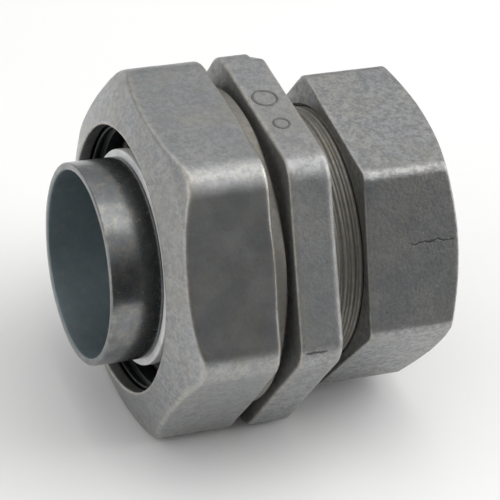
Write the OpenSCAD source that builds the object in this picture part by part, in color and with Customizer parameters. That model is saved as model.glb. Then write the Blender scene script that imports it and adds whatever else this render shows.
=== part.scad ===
// Conduit combination coupling, trade size 1 inch: liquidtight flexible metal conduit at the
// -X end, thin-wall EMT at the +X end. Each end closes with a hexagonal gland nut.
// X runs along the conduit, +Z is up, and x = 0 is the wire stop that the EMT butts against.
// All sizes are in millimetres.

/* [Conduits] */
// Outside diameter of the EMT that the +X end takes
emt_diameter = 29.54; // [29.3:0.01:29.7]
// Largest outside diameter of the liquidtight conduit that the -X end takes
conduit_diameter = 33.4; // [32.8:0.1:33.4]
// Smallest inside diameter of that conduit, which slides over the ferrule
conduit_inside = 26.44; // [26.4:0.02:26.8]

/* [Threads] */
// Pitch of both gland threads, 24 threads to the inch
thread_pitch = 1.058; // [0.8:0.002:1.5]
// Radial clearance between a spigot's thread and its nut's
thread_clearance = 0.08; // [0.05:0.01:0.1]

/* [Body] */
// Width across the flats of the body's hexagon
hex_across_flats = 43.2; // [42.8:0.1:46]
// Rounding radius of the body's hexagon corners
hex_corner = 4.1; // [2:0.1:6]
// Length of the small step cast into one corner of the hexagon
corner_step_length = 1.9; // [1:0.1:3]
// Depth of that step
corner_step_depth = 0.55; // [0.2:0.05:1]
// Length of the body's hexagon
hex_length = 5.9; // [5:0.1:9]
// Radius of the liquidtight spigot over its thread
lt_spigot_radius = 18.75; // [18.7:0.05:18.9]
// Length of the liquidtight spigot
lt_spigot_length = 9.8; // [9.5:0.1:10]
// Radius of the EMT spigot over its thread
emt_spigot_radius = 16.7; // [16.6:0.05:16.75]
// Length of the EMT spigot
emt_spigot_length = 8.5; // [8:0.1:8.6]
// Thickness of the web that both conduits stop against
web_thickness = 2.5; // [2:0.1:3]
// Radius of the hole through that web
web_hole_radius = 12.6; // [12.3:0.1:13]

/* [Liquidtight gland nut] */
// Rounding radius of its hexagon corners
lt_nut_corner = 5.1; // [3:0.1:6]
// Length of its hexagon, measured at the rim of its mouth
lt_nut_length = 13.4; // [13:0.1:14]
// Length of the round collar behind the hexagon
lt_collar_length = 1.7; // [1:0.1:1.8]
// Radius of that collar
lt_collar_radius = 20.85; // [20.2:0.05:21.2]
// Radius of its mouth
lt_mouth_radius = 17.35; // [17.2:0.05:17.6]
// How far the domed front falls back for each millimetre of radius
lt_dome_slope = 0.375; // [0.2:0.005:0.6]
// How fast the dome curves further away past the flats, toward the corners
lt_dome_bow = 0.08; // [0:0.005:0.2]
// Gap left between the collar and the body's hexagon
lt_gap = 0.8; // [0.7:0.1:1]

/* [Ferrule] */
// Wall thickness of the ferrule's tube
ferrule_wall = 0.96; // [0.8:0.02:1.2]
// How far the ferrule stands out of the nut's mouth
ferrule_stand_out = 5.3; // [4:0.1:7]
// Radial thickness of the nylon stop ring on the ferrule
stop_ring_height = 1.17; // [1:0.01:1.3]
// How far behind the nut's mouth the stop ring's face lies
stop_ring_depth = 1.55; // [1:0.05:6]

/* [EMT gland nut] */
// Width across its flats
emt_nut_across_flats = 36.6; // [36.4:0.1:38]
// Rounding radius of its hexagon corners
emt_nut_corner = 0.7; // [0.3:0.1:2]
// Its length
emt_nut_length = 13.25; // [13:0.05:13.6]
// Gap left between its front face and the body's hexagon
emt_gap = 5.3; // [5:0.1:5.5]
// Radius of its mouth
emt_mouth_radius = 15.1; // [15.05:0.05:15.3]
// Radius where its domed far end begins
emt_dome_radius = 17.2; // [16.5:0.1:17.6]
// How far that dome falls back for each millimetre of radius
emt_dome_slope = 0.47; // [0.3:0.01:0.6]
// How far its hexagon is turned against the body's
emt_nut_turn = 3.5; // [-30:0.5:30]

/* [Hidden] */
round_segments = 96;
corner_segments = 6;
edge = 0.3; // small chamfer that stands for a cast edge's rounding
bite = 1;   // how far a cutting shape runs past the face it opens

// Body planes along X, from the liquidtight spigot's mouth to the EMT spigot's
hex_back = -0.1;
hex_front = hex_back - hex_length;
lt_spigot_end = hex_front - lt_spigot_length;
emt_spigot_end = hex_back + emt_spigot_length;
lt_bore_radius = conduit_diameter / 2 + 0.3;
emt_bore_radius = emt_diameter / 2 + 0.23;
seat_x = -web_thickness;
// Cones that follow the dome's curve past the flats
dome_cones = 4;
hex_corner_reach = (hex_across_flats / 2 - hex_corner) / cos(30) + hex_corner;

// Liquidtight nut planes along X
lt_collar_end = hex_front - lt_gap;
lt_hex_end = lt_collar_end - lt_collar_length;
lt_mouth_x = lt_hex_end - lt_nut_length;
lt_lip = 1.7;
lt_recess_radius = 19.0;
lt_recess_x = lt_mouth_x + lt_lip + 1.6;
lt_thread_radius = lt_spigot_radius + thread_clearance;
lt_thread_x = lt_spigot_end + 1.2;

// Sealing ring in the liquidtight nut
seal_front = lt_mouth_x + lt_lip + 0.3;
seal_length = 3.3;
seal_bore = conduit_diameter / 2 + 0.2;
seal_outer = lt_recess_radius - 0.25;

// Ferrule and stop ring
ferrule_outer = conduit_inside / 2 - 0.09;
ferrule_inner = ferrule_outer - ferrule_wall;
ferrule_tip = lt_mouth_x - ferrule_stand_out;
flange_radius = lt_bore_radius - 0.4;
flange_thickness = 1.2;
stop_ring_x = lt_mouth_x + stop_ring_depth;
stop_ring_length = 1.6;
waist_radius = ferrule_outer - 0.3;
stop_ring_bore = waist_radius + 0.05;

// EMT nut planes along X
emt_nut_front = hex_back + emt_gap;
emt_nut_end = emt_nut_front + emt_nut_length;
emt_lip = 1.85;
emt_thread_radius = emt_spigot_radius + thread_clearance;
emt_cone_radius = 16.95;
emt_cone_length = 2.6;
emt_cone_x = emt_nut_end - emt_lip - emt_cone_length;

// Rings inside the EMT nut
ring_bore = emt_bore_radius + 0.05;
ring_outer = 16.5;
ring_front = emt_cone_x - 1.8;
ring_length = 3.7;
ring_slot = 3;
washer_thickness = 0.8;
washer_x = ring_front - 0.2 - washer_thickness;
washer_outer = 16.6;
emt_seal_length = 0.65;
emt_bevel = 1.2;

// Points of a hexagon with rounded corners, one corner on the first axis
function rounded_hexagon(across, corner) = [
    for (k = [0:5])
        for (step = [0:corner_segments])
            let (middle = (across / 2 - corner) / cos(30))
            let (turn = 60 * k - 30 + 60 * step / corner_segments)
            [middle * cos(60 * k) + corner * cos(turn), middle * sin(60 * k) + corner * sin(turn)]
];

// A solid of revolution about X from [x, radius] points
module turned(points)
    rotate([0, 90, 0])
        rotate_extrude($fn = round_segments)
            polygon([for (p = points) [p[1], p[0]]]);

// A hexagonal bar along X with flats facing up and down
module hexagon_bar(across, corner, start, end)
    translate([start, 0, 0])
        rotate([0, 90, 0])
            rotate([0, 0, 90])
                linear_extrude(end - start)
                    polygon(rounded_hexagon(across, corner));

// Cast zinc body: a threaded spigot each way from a hexagon, with a web inside as wire stop
module body() {
    color([0.62, 0.63, 0.64])
    difference() {
        union() {
            hexagon_bar(hex_across_flats, hex_corner, hex_front, hex_back);
            turned([[lt_spigot_end, 0], [lt_spigot_end, lt_spigot_radius - edge],
                    [lt_spigot_end + edge, lt_spigot_radius], [hex_front + edge, lt_spigot_radius],
                    [hex_front + edge, 0]]);
            turned([[hex_back - edge, 0], [hex_back - edge, emt_spigot_radius],
                    [emt_spigot_end - edge, emt_spigot_radius],
                    [emt_spigot_end, emt_spigot_radius - edge], [emt_spigot_end, 0]]);
        }
        turned([[lt_spigot_end - bite, 0], [lt_spigot_end - bite, lt_bore_radius + edge],
                [lt_spigot_end, lt_bore_radius + edge], [lt_spigot_end + edge, lt_bore_radius],
                [seat_x, lt_bore_radius], [seat_x, 0]]);
        turned([[seat_x - bite, 0], [seat_x - bite, web_hole_radius], [bite, web_hole_radius],
                [bite, 0]]);
        turned([[0, 0], [0, emt_bore_radius], [emt_spigot_end - emt_bevel, emt_bore_radius],
                [emt_spigot_end, emt_bore_radius + 1], [emt_spigot_end + bite, emt_bore_radius + 1],
                [emt_spigot_end + bite, 0]]);
        corner_step();
    }
}

// What is missing from the back of the hexagon's far upper corner
module corner_step()
    rotate([60, 0, 0])
        translate([hex_back - corner_step_length, hex_corner_reach - corner_step_depth, -hex_corner])
            cube([corner_step_length + bite, corner_step_depth + bite, 2 * hex_corner]);

// Gland nut of the liquidtight end: domed front, hexagon, round collar, taper over the seal
module lt_gland_nut() {
    half = hex_across_flats / 2;
    reach = hex_corner_reach + bite;
    radii = concat([lt_mouth_radius], [for (i = [0:dome_cones]) half + (reach - half) * i / dome_cones]);
    dome = [for (r = radii)
        [lt_mouth_x + (r - lt_mouth_radius) * lt_dome_slope + lt_dome_bow * pow(max(r - half, 0), 2), r]];
    color([0.60, 0.61, 0.62])
    difference() {
        union() {
            intersection() {
                hexagon_bar(hex_across_flats, lt_nut_corner, lt_mouth_x, lt_hex_end);
                turned(concat([[lt_mouth_x, 0]], dome, [[lt_hex_end, reach], [lt_hex_end, 0]]));
            }
            turned([[lt_hex_end - edge, 0], [lt_hex_end - edge, lt_collar_radius],
                    [lt_collar_end - edge, lt_collar_radius],
                    [lt_collar_end, lt_collar_radius - edge], [lt_collar_end, 0]]);
        }
        turned([[lt_mouth_x - bite, 0], [lt_mouth_x - bite, lt_mouth_radius],
                [lt_mouth_x + lt_lip, lt_mouth_radius], [lt_recess_x, lt_recess_radius],
                [lt_thread_x, lt_recess_radius], [lt_thread_x, lt_thread_radius],
                [lt_collar_end - edge, lt_thread_radius], [lt_collar_end, lt_thread_radius + edge],
                [lt_collar_end + bite, lt_thread_radius + edge], [lt_collar_end + bite, 0]]);
    }
}

// Dark sealing ring that the nut's taper squeezes onto the conduit's jacket
module lt_sealing_ring() {
    seal_end = seal_front + seal_length;
    groove = 0.5;
    color([0.09, 0.12, 0.11])
    turned([[seal_front, seal_bore], [seal_front, seal_bore + 0.3],
            [seal_front + 1.6, seal_outer], [seal_end - 0.4, seal_outer],
            [seal_end, seal_outer - 0.5], [seal_end, seal_bore],
            [seal_front + 1.4, seal_bore], [seal_front + 1.2, seal_bore + groove],
            [seal_front + 0.8, seal_bore + groove], [seal_front + 0.6, seal_bore]]);
}

// Steel ferrule: a thin tube that goes inside the conduit, with a flange seated in the body.
// Behind a small shoulder the tube is slimmer, so the stop ring can't come off over the tip.
module lt_ferrule() {
    shoulder_x = stop_ring_x - 0.15;
    color([0.55, 0.56, 0.57])
    turned([[ferrule_tip, ferrule_inner + edge], [ferrule_tip, ferrule_outer - edge],
            [ferrule_tip + edge, ferrule_outer], [shoulder_x, ferrule_outer],
            [shoulder_x, waist_radius], [seat_x - flange_thickness, waist_radius],
            [seat_x - flange_thickness, flange_radius], [seat_x, flange_radius],
            [seat_x, ferrule_inner], [ferrule_tip + edge, ferrule_inner]]);
}

// White nylon ring around the ferrule, which the conduit's end pushes back to the flange
module lt_stop_ring() {
    color([0.86, 0.88, 0.88])
    turned([[stop_ring_x, stop_ring_bore], [stop_ring_x, stop_ring_bore + stop_ring_height - 0.2],
            [stop_ring_x + 0.2, stop_ring_bore + stop_ring_height],
            [stop_ring_x + stop_ring_length, stop_ring_bore + stop_ring_height],
            [stop_ring_x + stop_ring_length, stop_ring_bore]]);
}

// Gland nut of the EMT end: flat front, hexagon, domed far end, cone over the split ring
module emt_gland_nut() {
    reach = emt_nut_across_flats;
    dome_run = (reach - emt_dome_radius) * emt_dome_slope;
    color([0.64, 0.64, 0.63])
    difference() {
        rotate([emt_nut_turn, 0, 0])
            intersection() {
                hexagon_bar(emt_nut_across_flats, emt_nut_corner, emt_nut_front, emt_nut_end);
                turned([[emt_nut_front, 0], [emt_nut_front, reach], [emt_nut_end - dome_run, reach],
                        [emt_nut_end, emt_dome_radius], [emt_nut_end, 0]]);
            }
        turned([[emt_nut_front - bite, 0], [emt_nut_front - bite, emt_thread_radius + edge],
                [emt_nut_front, emt_thread_radius + edge], [emt_nut_front + edge, emt_thread_radius],
                [ring_front - 0.6, emt_thread_radius], [ring_front - 0.6, emt_cone_radius],
                [emt_cone_x, emt_cone_radius], [emt_nut_end - emt_lip, emt_mouth_radius],
                [emt_nut_end + bite, emt_mouth_radius], [emt_nut_end + bite, 0]]);
    }
}

// Split steel ring that the nut's cone closes onto the EMT
module emt_compression_ring() {
    ring_end = ring_front + ring_length;
    color([0.72, 0.72, 0.70])
    difference() {
        turned([[ring_front, ring_bore], [ring_front, ring_outer - 0.6],
                [ring_front + 0.8, ring_outer], [emt_cone_x, ring_outer],
                [ring_end, ring_bore + 0.35], [ring_end, ring_bore]]);
        translate([ring_front - bite, -ring_slot / 2, 0])
            cube([ring_length + 2 * bite, ring_slot, ring_outer + bite]);
    }
}

// Steel washer that keeps the split ring from biting into the rubber
module emt_slip_washer() {
    color([0.70, 0.70, 0.68])
    turned([[washer_x, ring_bore], [washer_x, washer_outer], [washer_x + washer_thickness, washer_outer],
            [washer_x + washer_thickness, ring_bore]]);
}

// Rubber ring in the bevelled mouth of the EMT spigot
module emt_sealing_ring() {
    lip = 0.05;
    nose_x = emt_spigot_end - emt_bevel + 0.3;
    face_x = emt_spigot_end + lip;
    color([0.10, 0.11, 0.11])
    turned([[nose_x, ring_bore], [face_x, emt_bore_radius + 0.85], [face_x, ring_outer],
            [face_x + emt_seal_length, ring_outer], [face_x + emt_seal_length, ring_bore]]);
}

body();
lt_gland_nut();
lt_sealing_ring();
lt_ferrule();
lt_stop_ring();
emt_gland_nut();
emt_compression_ring();
emt_slip_washer();
emt_sealing_ring();
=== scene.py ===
"""Looks of a conduit combination coupling: cast zinc body and gland nuts, steel ferrule, rings."""
import math

import bmesh
import bpy
import numpy as np
from mathutils import Matrix, Vector


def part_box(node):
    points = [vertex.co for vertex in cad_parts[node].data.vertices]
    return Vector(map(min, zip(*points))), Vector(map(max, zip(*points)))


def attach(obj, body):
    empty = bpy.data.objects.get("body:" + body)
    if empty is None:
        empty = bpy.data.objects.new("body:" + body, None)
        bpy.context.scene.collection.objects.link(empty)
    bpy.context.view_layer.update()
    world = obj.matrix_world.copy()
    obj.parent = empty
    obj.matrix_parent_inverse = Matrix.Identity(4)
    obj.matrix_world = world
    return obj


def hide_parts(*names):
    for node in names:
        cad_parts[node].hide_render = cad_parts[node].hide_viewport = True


MM = 0.001
TURN = 2 * math.pi

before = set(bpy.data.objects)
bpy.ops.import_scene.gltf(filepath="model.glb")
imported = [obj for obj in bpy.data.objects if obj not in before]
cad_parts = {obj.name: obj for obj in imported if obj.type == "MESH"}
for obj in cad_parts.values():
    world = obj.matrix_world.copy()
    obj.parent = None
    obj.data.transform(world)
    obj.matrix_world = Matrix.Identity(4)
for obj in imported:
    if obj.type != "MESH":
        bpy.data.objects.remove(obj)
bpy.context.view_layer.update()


# ---------------------------------------------------------------- sizes, read from the frame
def low(node, axis):
    """Lowest coordinate of a CAD node along an axis, in millimetres."""
    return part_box(node)[0][axis] / MM


def high(node, axis):
    """Highest coordinate of a CAD node along an axis, in millimetres."""
    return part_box(node)[1][axis] / MM


# Thread pitch, a right-handed thread of 24 to the inch
PITCH = 1.058

# Body
BODY_START = low("body", 0)
BODY_END = high("body", 0)
HEX_HALF = high("body", 2)
BODY_CORNER = 4.1
LT_SPIGOT = 18.75
LT_BORE = 17.0
EMT_SPIGOT = 16.7
EMT_BORE = 15.0
WEB_BORE = 12.6
WEB_FRONT = -2.5
STEP_LENGTH = 1.9
STEP_DEPTH = 0.55

# Gland nut of the liquidtight end
LT_MOUTH_X = low("lt_gland_nut", 0)
LT_COLLAR_END = high("lt_gland_nut", 0)
LT_HEX_END = LT_COLLAR_END - 1.7
LT_MOUTH = 17.35
LT_CORNER = 5.1
LT_LIP = 1.7
LT_RECESS = 19.0
LT_COLLAR = 20.85
LT_THREAD = 18.83
LT_THREAD_X = -14.6
DOME_SLOPE = 0.375
DOME_BOW = 0.08

# Gland nut of the EMT end
EMT_FRONT = low("emt_gland_nut", 0)
EMT_END = high("emt_gland_nut", 0)
EMT_HALF = 18.3
EMT_CORNER = 1.8
EMT_TURN = math.radians(3.5)
EMT_MOUTH = 15.1
EMT_DOME_EDGE = 17.2
EMT_DOME_SLOPE = 0.47
EMT_RECESS = 16.95
EMT_THREAD = 16.78
EMT_THREAD_X = 11.6
EMT_TAPER_START = EMT_END - 4.45

# Where the body's hexagon lies between the nuts
HEX_FRONT = LT_COLLAR_END + 0.8
HEX_BACK = HEX_FRONT + 5.9

# Ferrule and its seat
FERRULE_TIP = low("lt_ferrule", 0)
FERRULE_OUTER = 13.13
FERRULE_INNER = 12.17
FERRULE_WAIST = 12.83
FLANGE = 16.6
FLANGE_X = -3.7
SEAT_GAP = 0.08
STOP_X = low("lt_stop_ring", 0)

# Rings of the EMT end
EMT_RING_BORE = 15.05

FLOOR_Z = low("body", 2)


# ---------------------------------------------------------------- mesh tools
def corner_span(half, corner):
    """Angle from the middle of a hexagon's rounded corner to where its flat begins."""
    middle = (half - corner) / math.cos(math.pi / 6)
    return math.atan2(corner * math.sin(math.pi / 6), middle + corner * math.cos(math.pi / 6))


def hexagon_radius(theta, half, corner, turn=0.0):
    """Radius of a hexagon with rounded corners, flats up and down, at each angle."""
    around = (theta - turn + math.pi / 6) % (math.pi / 3) - math.pi / 6
    middle = (half - corner) / math.cos(math.pi / 6)
    reach = half / np.cos(math.pi / 6 - np.abs(around))
    across = middle * np.sin(around)
    arc = middle * np.cos(around) + np.sqrt(np.maximum(corner ** 2 - across ** 2, 0))
    tangent = corner_span(half, corner)
    return np.where(np.abs(around) < tangent, arc, reach)


def corner_wear(theta, turn, amount, width):
    """Wear along a hexagon's corners, fading over `width` radians."""
    around = (theta - turn + math.pi / 6) % (math.pi / 3) - math.pi / 6
    return amount * np.exp(-(around / width) ** 2)


def hexagon_angles(flat_steps, corner_steps, half, corner, turn=0.0):
    """Angles round the axis, closer together on the rounded corners."""
    tangent = corner_span(half, corner)
    angles = []
    for k in range(6):
        centre = turn + k * math.pi / 3
        angles += list(centre + np.linspace(-tangent, tangent, corner_steps, endpoint=False))
        angles += list(centre + np.linspace(tangent, math.pi / 3 - tangent, flat_steps, endpoint=False))
    return np.array(angles)


def even_angles(count):
    """Equal steps round the axis."""
    return np.arange(count) * TURN / count


def filleted(corners, steps=4, spacing=0.45, closed=True):
    """Rounds a loop (or open run) of (x, r, fillet) corners that may vary with the angle.

    Each x, r is a number or an array over the angles. Long sides get points about `spacing` apart,
    so that the cast surface can undulate. Returns an array (angles, points, 2)."""
    count = max(np.size(v) for corner in corners for v in corner[:2])
    spots = np.array([[np.broadcast_to(c[0], count), np.broadcast_to(c[1], count)] for c in corners])
    spots = spots.transpose(2, 0, 1)
    ahead = np.roll(spots, -1, 1) - spots
    length = np.maximum(np.linalg.norm(ahead, axis=2, keepdims=True), 1e-6)
    ahead = ahead / length
    behind = -np.roll(ahead, 1, 1)
    room = np.minimum(length, np.roll(length, 1, 1)) * 0.48
    cosine = np.clip((ahead * behind).sum(2, keepdims=True), -0.9999, 0.9999)
    half = (math.pi - np.arccos(cosine)) / 2
    radius = np.array([c[2] for c in corners])[None, :, None]
    setback = np.minimum(radius * np.tan(half), room)
    weight = np.cos(half)
    rows = []
    for i in range(len(corners)):
        start = spots[:, i] + behind[:, i] * setback[:, i]
        end = spots[:, i] + ahead[:, i] * setback[:, i]
        if corners[i][2] == 0:
            rows.append(spots[:, i])
            end = spots[:, i]
        else:
            for t in np.linspace(0, 1, steps + 1):
                a, b, c = (1 - t) ** 2, 2 * t * (1 - t) * weight[:, i], t ** 2
                rows.append((a * start + b * spots[:, i] + c * end) / (a + b + c))
        if i == len(corners) - 1 and not closed:
            break
        j = (i + 1) % len(corners)
        following = spots[:, j] + behind[:, j] * (setback[:, j] if corners[j][2] else 0)
        gap = np.linalg.norm(following - end, axis=1).max()
        for t in np.linspace(0, 1, int(gap / spacing) + 2)[1:-1]:
            rows.append(end + (following - end) * t)
    return np.stack(rows, 1)


def waves(points, size, seed, count=28):
    """A smooth random field of about unit height, with features about `size` mm across."""
    draw = np.random.default_rng(seed)
    heading = draw.normal(size=(count, 3))
    heading /= np.linalg.norm(heading, axis=1, keepdims=True)
    rate = TURN / (size * draw.uniform(1.2, 3.0, count))
    phase = draw.uniform(0, TURN, count)
    return np.sin(points @ (heading * rate[:, None]).T + phase).sum(1) * math.sqrt(2 / count) / 1.5


def profile_wear(profile, ridges):
    """From 0 on flat metal to 1 on sharp convex edges, for each point of a closed profile."""
    before = profile - np.roll(profile, 1, 1)
    after = np.roll(profile, -1, 1) - profile
    span = np.linalg.norm(before, axis=2) + np.linalg.norm(after, axis=2) + 0.02
    turn = np.arctan2(before[:, :, 0] * after[:, :, 1] - before[:, :, 1] * after[:, :, 0],
                      (before * after).sum(2))
    convex = turn * np.sign(turn.sum(1, keepdims=True))
    edge = np.clip(0.9 * convex / span, 0, 1)
    return np.clip(edge + ridges, 0, 1)


def turned_mesh(name, angles, profile, material, rough=0.0, seed=1, closed=True, ridges=0.0):
    """Sweeps a closed (x, r) loop round X, then lets its surface undulate by `rough` mm."""
    rings, points = len(angles), profile.shape[1]
    profile = np.broadcast_to(profile, (rings, points, 2))
    radius = profile[:, :, 1]
    co = np.stack([profile[:, :, 0], radius * np.cos(angles)[:, None],
                   radius * np.sin(angles)[:, None]], 2).reshape(-1, 3)
    last = rings if closed else rings - 1
    i, j = np.meshgrid(np.arange(last), np.arange(points), indexing="ij")
    i2, j2 = (i + 1) % rings, (j + 1) % points
    quads = np.stack([i * points + j, i * points + j2, i2 * points + j2, i2 * points + j], 2)
    faces = quads.reshape(-1, 4).tolist()
    if not closed:
        faces.append(list(range(points - 1, -1, -1)))
        faces.append([(rings - 1) * points + k for k in range(points)])
    mesh = bpy.data.meshes.new(name)
    mesh.from_pydata((co * MM).tolist(), [], faces)
    mesh.update()
    if rough:
        normal = np.zeros(len(co) * 3)
        mesh.vertices.foreach_get("normal", normal)
        swell = rough * (waves(co, 3.0, seed) + 0.35 * waves(co, 1.1, seed + 7))
        co = co + normal.reshape(-1, 3) * swell[:, None]
        mesh.vertices.foreach_set("co", (co * MM).ravel())
    mesh.polygons.foreach_set("use_smooth", [True] * len(mesh.polygons))
    wear = profile_wear(profile, np.reshape(ridges, (-1, 1)))
    mesh.attributes.new("wear", "FLOAT", "POINT").data.foreach_set("value", wear.ravel())
    mesh.materials.append(material)
    mesh.update()
    piece = bpy.data.objects.new(name, mesh)
    bpy.context.scene.collection.objects.link(piece)
    return piece


def thread_crest(x, theta, crest_x):
    """Height from 0 at the root to 1 at the crest of a right-handed thread."""
    phase = (x - crest_x) / PITCH - theta / TURN
    peak = 2 * np.abs(phase % 1 - 0.5)
    climb = np.clip((peak - 0.15) / 0.6, 0, 1)
    return climb * climb * (3 - 2 * climb)


def threaded_run(start, end, crest, depth, angles, crest_x, samples, fade_start=0.6, fade_end=0.6):
    """Rows (x, r arrays) of a threaded cylinder from start to end, fading out at both ends."""
    count = max(2, int(abs(end - start) / PITCH * samples))
    rows = []
    for x in np.linspace(start, end, count):
        fade = min(1, abs(x - start) / fade_start + 0.15, abs(x - end) / fade_end + 0.15)
        height = thread_crest(x, angles, crest_x)
        rows.append(np.stack([np.full(len(angles), x), crest - depth * (1 - height) * fade], 1))
    return np.stack(rows, 1)


# ---------------------------------------------------------------- material tools
class Nodes:
    """A short way to write a node material."""

    def __init__(self, name):
        self.material = bpy.data.materials.new(name)
        self.material.use_nodes = True
        self.tree = self.material.node_tree
        self.tree.nodes.clear()
        self.out = self.tree.nodes.new("ShaderNodeOutputMaterial")
        self.shader = self.tree.nodes.new("ShaderNodeBsdfPrincipled")
        self.link(self.shader.outputs[0], self.out.inputs["Surface"])
        self.where = self.tree.nodes.new("ShaderNodeTexCoord").outputs["Object"]

    def link(self, a, b):
        self.tree.links.new(a, b)

    def put(self, socket, value):
        if isinstance(value, bpy.types.NodeSocket):
            self.link(value, socket)
        else:
            socket.default_value = value

    def noise(self, size, detail=3.0, rough=0.55, shift=0.0):
        """Noise with features about `size` mm across, from 0 to 1."""
        node = self.tree.nodes.new("ShaderNodeTexNoise")
        node.noise_dimensions = "4D"
        self.link(self.where, node.inputs["Vector"])
        node.inputs["W"].default_value = shift
        node.inputs["Scale"].default_value = 1 / (size * MM)
        node.inputs["Detail"].default_value = detail
        node.inputs["Roughness"].default_value = rough
        return node.outputs["Fac"]

    def cells(self, size, shift=0.0):
        """Distance from scattered points about `size` mm apart."""
        node = self.tree.nodes.new("ShaderNodeTexVoronoi")
        node.voronoi_dimensions = "4D"
        self.link(self.where, node.inputs["Vector"])
        node.inputs["W"].default_value = shift
        node.inputs["Scale"].default_value = 1 / (size * MM)
        return node.outputs["Distance"]

    def ramp(self, value, low, high, out_low=0.0, out_high=1.0, smooth=True):
        node = self.tree.nodes.new("ShaderNodeMapRange")
        node.interpolation_type = "SMOOTHSTEP" if smooth else "LINEAR"
        self.put(node.inputs["Value"], value)
        node.inputs["From Min"].default_value = low
        node.inputs["From Max"].default_value = high
        node.inputs["To Min"].default_value = out_low
        node.inputs["To Max"].default_value = out_high
        return node.outputs["Result"]

    def math(self, kind, a, b=0.0):
        node = self.tree.nodes.new("ShaderNodeMath")
        node.operation = kind
        self.put(node.inputs[0], a)
        self.put(node.inputs[1], b)
        return node.outputs[0]

    def mix(self, factor, a, b):
        """Colour a where factor is 0, colour b where it is 1."""
        node = self.tree.nodes.new("ShaderNodeMix")
        node.data_type = "RGBA"
        self.put(node.inputs["Factor"], factor)
        for socket, value in ((node.inputs[6], a), (node.inputs[7], b)):
            self.put(socket, value if isinstance(value, bpy.types.NodeSocket) else (*value, 1))
        return node.outputs[2]

    def edges(self):
        """From 0 on flat metal to 1 on convex edges, where handling wears the grain away."""
        stored = self.tree.nodes.new("ShaderNodeAttribute")
        stored.attribute_name = "wear"
        return stored.outputs["Fac"]

    def streak(self, spot, across, length, width, waver, shift):
        """1 on a wavering line through `spot` along X, measured across it in direction `across`."""
        offset = self.tree.nodes.new("ShaderNodeVectorMath")
        offset.operation = "SUBTRACT"
        self.link(self.where, offset.inputs[0])
        offset.inputs[1].default_value = [v * MM for v in spot]
        side = self.tree.nodes.new("ShaderNodeVectorMath")
        side.operation = "DOT_PRODUCT"
        self.link(offset.outputs[0], side.inputs[0])
        side.inputs[1].default_value = [v / MM for v in across]
        away = self.tree.nodes.new("ShaderNodeVectorMath")
        away.operation = "LENGTH"
        self.link(offset.outputs[0], away.inputs[0])
        drift = self.ramp(self.noise(1.5, 4, 0.65, shift), 0, 1, -waver, waver, smooth=False)
        apart = self.math("ABSOLUTE", self.math("ADD", side.outputs["Value"], drift))
        away = self.math("DIVIDE", away.outputs["Value"], MM)
        thin = self.ramp(apart, width * 0.4, width, 1.0, 0.0)
        return self.math("MULTIPLY", thin, self.ramp(away, length * 0.35, length * 0.5, 1.0, 0.0))

    def bump(self, height, strength, distance):
        node = self.tree.nodes.new("ShaderNodeBump")
        node.inputs["Strength"].default_value = strength
        node.inputs["Distance"].default_value = distance * MM
        self.link(height, node.inputs["Height"])
        self.link(node.outputs[0], self.shader.inputs["Normal"])

    def set(self, **values):
        for name, value in values.items():
            self.put(self.shader.inputs[name.replace("_", " ")], value)


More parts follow.
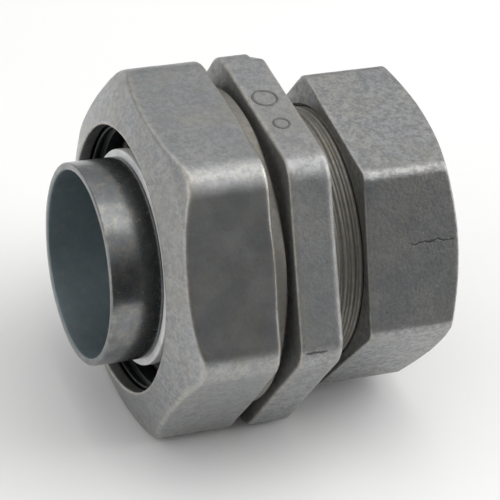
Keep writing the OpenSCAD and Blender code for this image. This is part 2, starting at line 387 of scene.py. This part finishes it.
def cast_zinc(name, tone, grain, grain_depth, contrast, tarnish, roughness, shift, stain_and_shade=0.0,
              wear=1.0, streak=None, metallic=0.9):
    """As-cast zinc: cloudy grey, speckled at the size of its grain, tarnished brown in patches and
    worn bright along its edges. `streak` places one cold shut, a dark line in the skin."""
    m = Nodes(name)
    cloud = m.ramp(m.noise(5.0, 4, 0.6, shift), 0.3, 0.7)
    fine = m.ramp(m.noise(grain, 3, 0.65, shift + 1), 0.25, 0.75)
    coarse = m.ramp(m.noise(grain * 2.2, 3, 0.65, shift + 5), 0.3, 0.7)
    speck = m.math("MULTIPLY", m.math("ADD", fine, coarse), 0.5)
    patina = m.ramp(m.noise(2.2, 5, 0.7, shift + 2), 0.52, 0.8)
    pits = m.ramp(m.cells(1.7, shift + 3), 0.10, 0.20, 1.0, 0.0)
    pits = m.math("MULTIPLY", pits, m.ramp(m.noise(3.5, 2, 0.5, shift + 4), 0.57, 0.64))
    broken = m.ramp(m.noise(1.1, 3, 0.6, shift + 6), 0.3, 0.6, 0.25, 1.0)
    worn = m.math("MULTIPLY", m.math("MULTIPLY", m.edges(), broken), 0.75 * wear)
    rubbed = [min(1, tone * v) for v in (1.55, 1.50, 1.38)]
    tan = [tone * v for v in (1.30, 1.14, 0.92)]
    cream = m.mix(m.ramp(m.noise(0.9, 3, 0.6, shift + 7), 0.45, 0.6), rubbed, tan)
    cool = [tone * v for v in (0.97, 1.0, 1.035)]
    warm = [tone * v for v in (1.03, 1.01, 0.96)]
    dark = [tone * (1 - contrast) * v for v in (0.97, 1.0, 1.02)]
    brown = [tone * v for v in (0.80, 0.72, 0.56)]
    pale = [tone * v for v in (1.16, 1.18, 1.21)]
    smoky = [tone * v for v in (0.74, 0.75, 0.76)]
    olive = [tone * v for v in (0.86, 0.84, 0.73)]
    sweep = m.ramp(m.noise(9.0, 3, 0.5, shift + 10), 0.35, 0.65)
    colour = m.mix(cloud, [v * 0.95 for v in cool], warm)
    colour = m.mix(m.math("MULTIPLY", sweep, 0.18), colour, pale)
    smudge = m.ramp(m.noise(3.6, 4, 0.6, shift + 11), 0.52, 0.76)
    colour = m.mix(m.math("MULTIPLY", smudge, 0.28), colour, smoky)
    colour = m.mix(m.ramp(speck, 0.15, 0.85, 1.0, 0.0), colour, dark)
    # The even brown added here is partly a stain and partly painted shade.
    colour = m.mix(m.math("ADD", m.math("MULTIPLY", patina, tarnish), stain_and_shade), colour, brown)
    film = m.ramp(m.noise(6.5, 3, 0.55, shift + 9), 0.48, 0.68)
    colour = m.mix(m.math("MULTIPLY", film, tarnish), colour, olive)
    colour = m.mix(worn, colour, cream)
    colour = m.mix(m.math("MULTIPLY", pits, 0.55), colour, [tone * 0.25] * 3)
    rough = m.math("ADD", m.ramp(cloud, 0, 1, roughness - 0.02, roughness + 0.03),
                   m.ramp(speck, 0, 1, 0.06, -0.05))
    height = m.math("ADD", fine, m.math("MULTIPLY", m.noise(1.6, 2, 0.5, shift), 0.9))
    height = m.math("SUBTRACT", height, m.math("MULTIPLY", pits, 0.4))
    if streak:
        shut = m.streak(*streak, shift + 8)
        colour = m.mix(m.math("MULTIPLY", shut, 0.8), colour, [tone * 0.15] * 3)
        height = m.math("SUBTRACT", height, m.math("MULTIPLY", shut, 0.8))
    m.set(Base_Color=colour, Metallic=metallic, Roughness=rough)
    m.bump(height, 1.0, grain_depth)
    return m.material


def drawn_steel(name, tone, tint, roughness, shift, grain_depth=0.003, mottle=0.18, metallic=1.0):
    """Thin drawn steel: glossier than the castings, mottled by a thin oxide and lightly scuffed."""
    m = Nodes(name)
    cloud = m.ramp(m.noise(2.4, 5, 0.65, shift), 0.3, 0.7)
    scuff = m.ramp(m.noise(1.1, 3, 0.6, shift + 3), 0.45, 0.70)
    speck = m.noise(0.35, 2, 0.6, shift + 1)
    light = [tone * v for v in tint]
    colour = m.mix(cloud, [v * (1 - mottle) for v in light], light)
    scuffed = [min(1, tone * v) for v in (1.7, 1.5, 1.2)]
    colour = m.mix(m.math("MULTIPLY", scuff, mottle * 1.3), colour, scuffed)
    rough = m.ramp(speck, 0.2, 0.8, roughness - 0.05, roughness + 0.05)
    m.set(Base_Color=colour, Metallic=metallic, Roughness=rough)
    height = m.math("ADD", m.noise(0.9, 2, 0.5, shift + 2), m.math("MULTIPLY", speck, 0.3))
    m.bump(height, 1.0, grain_depth)
    return m.material


def moulded(name, colour, roughness, shift, depth=0.004):
    """A moulded plastic or rubber with a fine matt grain."""
    m = Nodes(name)
    cloud = m.ramp(m.noise(2.5, 3, 0.55, shift), 0.3, 0.7)
    grain = m.noise(0.25, 2, 0.6, shift + 1)
    m.set(Base_Color=m.mix(cloud, [v * 0.85 for v in colour], [min(1, v * 1.12) for v in colour]),
          Roughness=m.ramp(grain, 0.2, 0.8, roughness - 0.07, roughness + 0.07))
    m.shader.inputs["Specular IOR Level"].default_value = 0.4
    m.bump(grain, 1.0, depth)
    return m.material


# ---------------------------------------------------------------- the pieces
def make_lt_nut(material, collar_material, dome_material):
    """Gland nut of the liquidtight end: collar and the rear of the flats' back fillet in the darker thread
    zinc, partly tarnish and partly painted shade that dims the fillet's highlight; dome coarser than the
    flats.
    """
    angles = hexagon_angles(44, 22, HEX_HALF, LT_CORNER)
    flat = hexagon_radius(angles, HEX_HALF, LT_CORNER)
    dome = LT_MOUTH_X + (flat - LT_MOUTH) * DOME_SLOPE
    lip_end = LT_MOUTH_X + LT_LIP
    profile = filleted([
        (LT_MOUTH_X, LT_MOUTH, 0.25), (dome, flat, 0.6), (LT_HEX_END, flat, 0.7),
        (LT_HEX_END, LT_COLLAR, 0.2), (LT_COLLAR_END, LT_COLLAR, 0.35), (LT_COLLAR_END, 19.2, 0.2),
        (LT_COLLAR_END - 0.5, LT_THREAD, 0.2), (LT_THREAD_X, LT_THREAD, 0.1),
        (LT_THREAD_X, LT_RECESS, 0.1), (lip_end + 1.6, LT_RECESS, 0.3), (lip_end, LT_MOUTH, 0.3),
    ], spacing=0.36)
    depth, reach = profile[:, :, 0], profile[:, :, 1]
    share = np.clip((LT_HEX_END - depth) / (LT_HEX_END - dome)[:, None], 0, 1)
    profile[:, :, 0] = depth + DOME_BOW * np.maximum(reach - HEX_HALF, 0) ** 2 * share
    piece = turned_mesh("lt_gland_nut_cast", angles, profile, material, rough=0.016, seed=11,
                        ridges=corner_wear(angles, 0, 0.14, 0.09))
    piece.data.materials.append(collar_material)
    piece.data.materials.append(dome_material)
    for face in piece.data.polygons:
        spot = face.center / MM
        # The collar slot reaches 0.3 mm onto the flats' back fillet: the darker zinc there is painted shade
        # over the fillet's highlight.
        if spot.x > LT_HEX_END - 0.3:
            face.material_index = 1
        elif face.normal.x < -0.5 and math.hypot(spot.y, spot.z) > LT_MOUTH:
            face.material_index = 2
    return piece


def make_emt_nut(material):
    """Gland nut of the EMT end."""
    angles = hexagon_angles(52, 14, EMT_HALF, EMT_CORNER, EMT_TURN)
    flat = hexagon_radius(angles, EMT_HALF, EMT_CORNER, EMT_TURN)
    dome = EMT_END - (flat - EMT_DOME_EDGE) * EMT_DOME_SLOPE
    profile = filleted([
        (EMT_FRONT, 17.1, 0.1), (EMT_FRONT, flat, 0.25), (dome, flat, 0.4), (EMT_END, EMT_DOME_EDGE, 0.8),
        (EMT_END, EMT_MOUTH, 0.4), (EMT_END - 1.85, EMT_MOUTH, 0.3), (EMT_TAPER_START, EMT_RECESS, 0.3),
        (EMT_THREAD_X, EMT_RECESS, 0.1), (EMT_THREAD_X, EMT_THREAD, 0.1),
        (EMT_FRONT + 0.32, EMT_THREAD, 0.1),
    ], spacing=0.36)
    return turned_mesh("emt_gland_nut_cast", angles, profile, material, rough=0.010, seed=23,
                       ridges=corner_wear(angles, EMT_TURN, 0.10, 0.06))


def raised_ring(centre, radius, width, height):
    """A low ring cast on the upper flat, as points and faces."""
    around, over = 72, 10
    turn, tilt = np.meshgrid(even_angles(around), even_angles(over), indexing="ij")
    reach = radius + width / 2 * np.cos(tilt)
    points = np.stack([centre[0] + reach * np.cos(turn), centre[1] + reach * np.sin(turn),
                       HEX_HALF + height * np.sin(tilt)], 2).reshape(-1, 3)
    faces = [(i * over + j, (i + 1) % around * over + j, (i + 1) % around * over + (j + 1) % over,
              i * over + (j + 1) % over) for i in range(around) for j in range(over)]
    return points, faces


def add_shells(piece, shells, slot):
    """Adds further closed shells to a piece, smooth and in its material slot `slot`."""
    build = bmesh.new()
    build.from_mesh(piece.data)
    for points, faces in shells:
        verts = [build.verts.new((p * MM).tolist()) for p in points]
        for face in faces:
            made = build.faces.new([verts[k] for k in face])
            made.smooth = True
            made.material_index = slot
    build.to_mesh(piece.data)
    build.free()


def make_body_piece(material, thread_material, mark_material):
    """The whole body loop: outside from the liquidtight mouth to the EMT mouth, then back inside."""
    angles = hexagon_angles(40, 14, HEX_HALF, BODY_CORNER)
    flat = hexagon_radius(angles, HEX_HALF, BODY_CORNER)
    step_reach = (flat.max() - STEP_DEPTH) / np.maximum(np.cos(angles - math.pi / 3), 0.3)
    stepped = np.where(np.cos(angles - math.pi / 3) > 0.9, np.minimum(flat, step_reach), flat)
    step_x = HEX_BACK - STEP_LENGTH
    one = np.ones(len(angles))

    def row(x, r):
        return np.stack([x * one, r * one], 1)[:, None]

    hexagon = filleted([(HEX_FRONT, 18.3, 0), (HEX_FRONT, flat, 0.4), (step_x - 0.06, flat, 0),
                        (step_x + 0.06, stepped, 0), (HEX_BACK, stepped, 0.9), (HEX_BACK, 16.35, 0)],
                       spacing=0.42, closed=False)
    lt_run = threaded_run(BODY_START + 0.45, HEX_FRONT - 0.5, LT_SPIGOT, 0.45, angles, -10.0, 8)
    emt_crest_x = 2.92 - PITCH * 150 / 360
    emt_run = threaded_run(HEX_BACK + 0.25, BODY_END - 0.35, EMT_SPIGOT, 0.38, angles, emt_crest_x, 11)
    inside = [(BODY_END, 16.2), (BODY_END, 16.02), (BODY_END - 1.2, EMT_BORE), (BODY_END - 3, EMT_BORE),
              (0.15, EMT_BORE), (0, EMT_BORE - 0.15), (0, WEB_BORE + 0.2), (-0.2, WEB_BORE),
              (WEB_FRONT + 0.2, WEB_BORE), (WEB_FRONT, WEB_BORE + 0.2), (WEB_FRONT, LT_BORE - 0.1),
              (WEB_FRONT - 0.1, LT_BORE), (-8, LT_BORE), (BODY_START + 0.3, LT_BORE),
              (BODY_START, LT_BORE + 0.3), (BODY_START, 18.2)]
    parts = [lt_run, hexagon, emt_run] + [row(x, r) for x, r in inside]
    piece = turned_mesh("body_cast", angles, np.concatenate(parts, 1), material, rough=0.012, seed=5)
    piece.data.materials.append(thread_material)
    piece.data.materials.append(mark_material)
    for face in piece.data.polygons:
        spot = face.center / MM
        # Threads outside the hexagon take the thread zinc. Its extra darkness is partly painted shade for
        # the gaps between the parts.
        if not HEX_FRONT - 0.1 < spot.x < HEX_BACK + 0.1 and math.hypot(spot.y, spot.z) > 15.9:
            face.material_index = 1
    # The raised marks take slot 2, the dark mark zinc, which paints their shade.
    add_shells(piece, [raised_ring((-3.54, 1.62), 1.60, 0.34, 0.09),
                       raised_ring((-3.46, -3.99), 1.02, 0.32, 0.09)], 2)
    return piece


def make_sealing_ring(material):
    """Dark ring in the liquidtight nut, with a moulded groove in its bore."""
    x = low("lt_sealing_ring", 0)
    end = high("lt_sealing_ring", 0)
    profile = filleted([
        (x, 16.9, 0.15), (x, 17.2, 0.15), (x + 1.6, 18.75, 0.3), (end - 0.4, 18.75, 0.2),
        (end, 18.25, 0.2), (end, 16.9, 0.2), (x + 1.5, 16.9, 0.15), (x + 1.25, 17.4, 0.15),
        (x + 0.75, 17.4, 0.15), (x + 0.5, 16.9, 0.15),
    ], steps=3)
    return turned_mesh("lt_sealing_ring_moulded", even_angles(256), profile, material, rough=0.012, seed=31)


def make_ferrule(material, inner_material):
    """Drawn steel ferrule with a rounded tip, a shoulder for the stop ring and a rear flange."""
    seat = high("lt_ferrule", 0) - SEAT_GAP
    profile = filleted([
        (FERRULE_TIP, FERRULE_INNER, 0.22), (FERRULE_TIP, FERRULE_OUTER, 0.22),
        (STOP_X - 0.15, FERRULE_OUTER, 0.06), (STOP_X - 0.10, FERRULE_WAIST, 0.04),
        (FLANGE_X, FERRULE_WAIST, 0.1), (FLANGE_X, FLANGE, 0.3), (seat, FLANGE, 0.3),
        (seat, FERRULE_INNER, 0.5),
    ], steps=5)
    piece = turned_mesh("lt_ferrule_drawn", even_angles(320), profile, material, rough=0.012, seed=41)
    piece.data.materials.append(inner_material)
    for face in piece.data.polygons:
        spot = face.center / MM
        # Faces inside the tube take the second steel, which paints the tube's shaded inside.
        inside = math.hypot(spot.y, spot.z) < FERRULE_INNER + 0.12
        if inside:
            face.material_index = 1
    return piece


def make_stop_ring(material):
    """White nylon ring round the ferrule."""
    end = high("lt_stop_ring", 0)
    profile = filleted([
        (STOP_X, 12.88, 0.05), (STOP_X, 14.05, 0.22), (end, 14.05, 0.22), (end, 12.88, 0.05),
    ], spacing=0.3)
    return turned_mesh("lt_stop_ring_moulded", even_angles(256), profile, material, rough=0.006, seed=43)


def make_compression_ring(material):
    """Split steel ring with bevelled ends."""
    x = low("emt_compression_ring", 0)
    end = high("emt_compression_ring", 0)
    half_slot = math.asin(1.5 / 15.8)
    angles = math.pi / 2 + np.linspace(half_slot, TURN - half_slot, 220)
    profile = filleted([
        (x, EMT_RING_BORE, 0.15), (x, 15.9, 0.2), (x + 0.8, 16.5, 0.2), (EMT_TAPER_START, 16.5, 0.2),
        (end, 15.4, 0.12), (end, EMT_RING_BORE, 0.1),
    ], steps=3)
    return turned_mesh("emt_compression_ring_turned", angles, profile, material, rough=0.004, seed=51,
                       closed=False)


def make_washer(material):
    """Flat steel washer."""
    x = low("emt_slip_washer", 0)
    end = high("emt_slip_washer", 0)
    profile = filleted([
        (x, EMT_RING_BORE, 0.15), (x, 16.6, 0.15), (end, 16.6, 0.2), (end, EMT_RING_BORE, 0.2),
    ], steps=3)
    return turned_mesh("emt_slip_washer_stamped", even_angles(220), profile, material, rough=0.004, seed=53)


def make_rubber_ring(material):
    """Rubber ring seated in the bevelled mouth of the EMT spigot."""
    x = low("emt_sealing_ring", 0)
    end = high("emt_sealing_ring", 0)
    profile = filleted([
        (x, EMT_RING_BORE, 0.1), (BODY_END + 0.05, 15.85, 0.1), (BODY_END + 0.05, 16.5, 0.1),
        (end, 16.5, 0.2), (end, EMT_RING_BORE, 0.2),
    ], steps=3)
    return turned_mesh("emt_sealing_ring_moulded", even_angles(220), profile, material, rough=0.006, seed=55)


EMT_SHUT = ((14.3, -15.95, 9.1), (0, 0.446, 0.895), 7.0, 0.22, 0.9)
HEX_SHUT = ((-3.9, -24.3, 0.8), (0, 0, 1), 3.4, 0.20, 0.4)
zinc_lt = cast_zinc("zinc_lt_nut", 0.39, 0.34, 0.006, 0.27, 0.45, 0.37, 1.0, wear=0.8)
zinc_dome = cast_zinc("zinc_dome", 0.41, 0.48, 0.012, 0.30, 0.45, 0.38, 3.0, wear=0.7)
zinc_body = cast_zinc("zinc_body", 0.40, 0.40, 0.016, 0.30, 0.35, 0.48, 5.0, wear=0.6, streak=HEX_SHUT,
                      metallic=0.86)
# Thread and collar zinc, darker and browner than the body: partly a stain, partly painted shade for the gaps
# between the parts.
zinc_thread_shaded = cast_zinc("zinc_thread_shaded", 0.32, 0.50, 0.006, 0.30, 0.50, 0.54, 6.0, stain_and_shade=0.5, wear=0.12,
                        metallic=0.72)
# The raised marks get a dark zinc at half the body's tone: painted shade for the shadowed outlines round
# them.
zinc_mark_painted_shade = cast_zinc("zinc_mark_painted_shade", 0.20, 0.50, 0.006, 0.25, 0.20, 0.55, 7.0, wear=0.0)
zinc_emt = cast_zinc("zinc_emt_nut", 0.40, 0.46, 0.024, 0.38, 0.35, 0.43, 9.0, wear=0.45, streak=EMT_SHUT)
steel = drawn_steel("ferrule_steel", 0.25, (0.95, 1.0, 1.03), 0.24, 13.0, 0.0015, 0.34, metallic=0.87)
# The inside of the tube gets its own bluer, rougher steel: painted shade colour for the shaded inside of the
# tube.
steel_inside_painted_shade = drawn_steel("ferrule_inside_painted_shade", 0.31, (0.80, 0.98, 1.06), 0.58, 15.0, 0.003, 0.12)
ring_steel = drawn_steel("ring_steel", 0.50, (1.0, 0.99, 0.97), 0.30, 17.0)
nylon = moulded("nylon_white", (0.94, 0.95, 0.96), 0.45, 19.0)
seal = moulded("seal_dark", (0.012, 0.020, 0.018), 0.38, 21.0)
rubber = moulded("rubber_black", (0.020, 0.021, 0.021), 0.6, 23.0)

PIECES = [
    (make_body_piece(zinc_body, zinc_thread_shaded, zinc_mark_painted_shade), "coupling_body", "body", "cast_zinc_body"),
    (make_rubber_ring(rubber), "coupling_body", "emt_sealing_ring", "rubber_black"),
    (make_lt_nut(zinc_lt, zinc_thread_shaded, zinc_dome), "lt_nut", "lt_gland_nut", "cast_zinc_lt_nut"),
    (make_sealing_ring(seal), "lt_seal", "lt_sealing_ring", "seal_dark"),
    (make_ferrule(steel, steel_inside_painted_shade), "ferrule", "lt_ferrule", "ferrule_steel"),
    (make_stop_ring(nylon), "stop_ring", "lt_stop_ring", "nylon_white"),
    (make_emt_nut(zinc_emt), "emt_nut", "emt_gland_nut", "cast_zinc_emt_nut"),
    (make_compression_ring(ring_steel), "emt_rings", "emt_compression_ring", "ring_steel"),
    (make_washer(ring_steel), "emt_rings", "emt_slip_washer", "ring_steel"),
]
for piece, body, node, slot in PIECES:
    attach(piece, body)
    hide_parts(node)


# ---------------------------------------------------------------- floor, light and camera
def make_floor():
    """A plain pale floor that the flats rest on."""
    mesh = bpy.data.meshes.new("floor")
    size = 1.5
    front = -0.11
    mesh.from_pydata([(-size, front, 0), (size, front, 0), (size, size, 0), (-size, size, 0)], [],
                     [(0, 1, 2, 3)])
    floor = bpy.data.objects.new("floor", mesh)
    floor.location.z = FLOOR_Z * MM - 0.0001
    bpy.context.scene.collection.objects.link(floor)
    m = Nodes("floor_paper")
    shade = m.noise(40, 2, 0.5)
    m.set(Base_Color=m.mix(shade, (0.90, 0.90, 0.90), (0.93, 0.93, 0.93)), Roughness=0.9)
    mesh.materials.append(m.material)


def make_light(name, direction, distance, size, power, colour=(1, 1, 1)):
    """A square softbox that faces the coupling."""
    data = bpy.data.lights.new(name, "AREA")
    data.shape = "RECTANGLE"
    data.size, data.size_y = size
    data.energy = power
    data.color = colour
    lamp = bpy.data.objects.new(name, data)
    towards = Vector(direction).normalized()
    lamp.location = towards * distance
    lamp.rotation_euler = towards.to_track_quat("Z", "Y").to_euler()
    lamp.visible_camera = False
    bpy.context.scene.collection.objects.link(lamp)


def gradient(tree, value, start, end, dim, bright):
    """A smooth rise from dim to bright while the value goes from start to end."""
    node = tree.nodes.new("ShaderNodeMapRange")
    node.interpolation_type = "SMOOTHSTEP"
    tree.links.new(value, node.inputs["Value"])
    node.inputs["From Min"].default_value = start
    node.inputs["From Max"].default_value = end
    node.inputs["To Min"].default_value = dim
    node.inputs["To Max"].default_value = bright
    return node.outputs["Result"]


def make_world():
    """Dim in front, lighter behind and to the left, with a glow overhead; pale as a backdrop."""
    world = bpy.data.worlds.new("studio")
    world.use_nodes = True
    tree = world.node_tree
    tree.nodes.clear()
    out = tree.nodes.new("ShaderNodeOutputWorld")
    shade = tree.nodes.new("ShaderNodeBackground")
    pale = tree.nodes.new("ShaderNodeBackground")
    pale.inputs["Color"].default_value = (0.93, 0.93, 0.93, 1)
    where = tree.nodes.new("ShaderNodeTexCoord")
    split = tree.nodes.new("ShaderNodeSeparateXYZ")
    tree.links.new(where.outputs["Generated"], split.inputs[0])
    lean = tree.nodes.new("ShaderNodeMath")
    lean.operation = "MULTIPLY_ADD"
    tree.links.new(split.outputs["X"], lean.inputs[0])
    lean.inputs[1].default_value = -0.6
    tree.links.new(split.outputs["Y"], lean.inputs[2])
    spread = gradient(tree, lean.outputs[0], -0.9, 0.8, 0.08, 0.62)
    glow = gradient(tree, split.outputs["Z"], 0.40, 1.0, 0.0, 0.88)
    total = tree.nodes.new("ShaderNodeMath")
    tree.links.new(spread, total.inputs[0])
    tree.links.new(glow, total.inputs[1])
    tree.links.new(total.outputs[0], shade.inputs["Strength"])
    path = tree.nodes.new("ShaderNodeLightPath")
    mix = tree.nodes.new("ShaderNodeMixShader")
    tree.links.new(path.outputs["Is Camera Ray"], mix.inputs[0])
    tree.links.new(shade.outputs[0], mix.inputs[1])
    tree.links.new(pale.outputs[0], mix.inputs[2])
    tree.links.new(mix.outputs[0], out.inputs["Surface"])
    bpy.context.scene.world = world


def make_camera():
    """A long lens from the left, in front and above, as a small product is usually taken."""
    azimuth = math.radians(-26.398)
    elevation = math.radians(37.202)
    roll = math.radians(8.612)
    distance = 374.242
    aside = 1.405
    below = 1.475
    back = Vector((math.sin(azimuth) * math.cos(elevation), -math.cos(azimuth) * math.cos(elevation),
                   math.sin(elevation)))
    right = back.cross(Vector((0, 0, 1))) * -1
    right.normalize()
    up = back.cross(right)
    level_right, level_up = right, up
    right = level_right * math.cos(roll) + level_up * math.sin(roll)
    up = level_up * math.cos(roll) - level_right * math.sin(roll)
    target = Vector((-1.9, 0, 0))
    spot = target + back * distance - right * aside - up * below
    data = bpy.data.cameras.new("camera")
    data.lens = 205.72
    data.sensor_width = 36
    data.clip_start = 0.01
    camera = bpy.data.objects.new("camera", data)
    camera.matrix_world = Matrix((
        (right.x, up.x, back.x, spot.x * MM), (right.y, up.y, back.y, spot.y * MM),
        (right.z, up.z, back.z, spot.z * MM), (0, 0, 0, 1)))
    bpy.context.scene.collection.objects.link(camera)
    bpy.context.scene.camera = camera


make_floor()
make_light("overhead", (0.15, -0.05, 1.0), 0.8, (0.5, 0.5), 0.9, (1.0, 0.96, 0.90))
make_light("left", (-1.0, -0.2, 0.5), 0.6, (0.4, 0.4), 0.5)
make_light("right", (1.0, -0.15, 0.6), 0.9, (0.9, 0.9), 6.0)
make_world()
make_camera()
bpy.context.scene.view_settings.view_transform = "Standard"
bpy.context.scene.view_settings.look = "None"
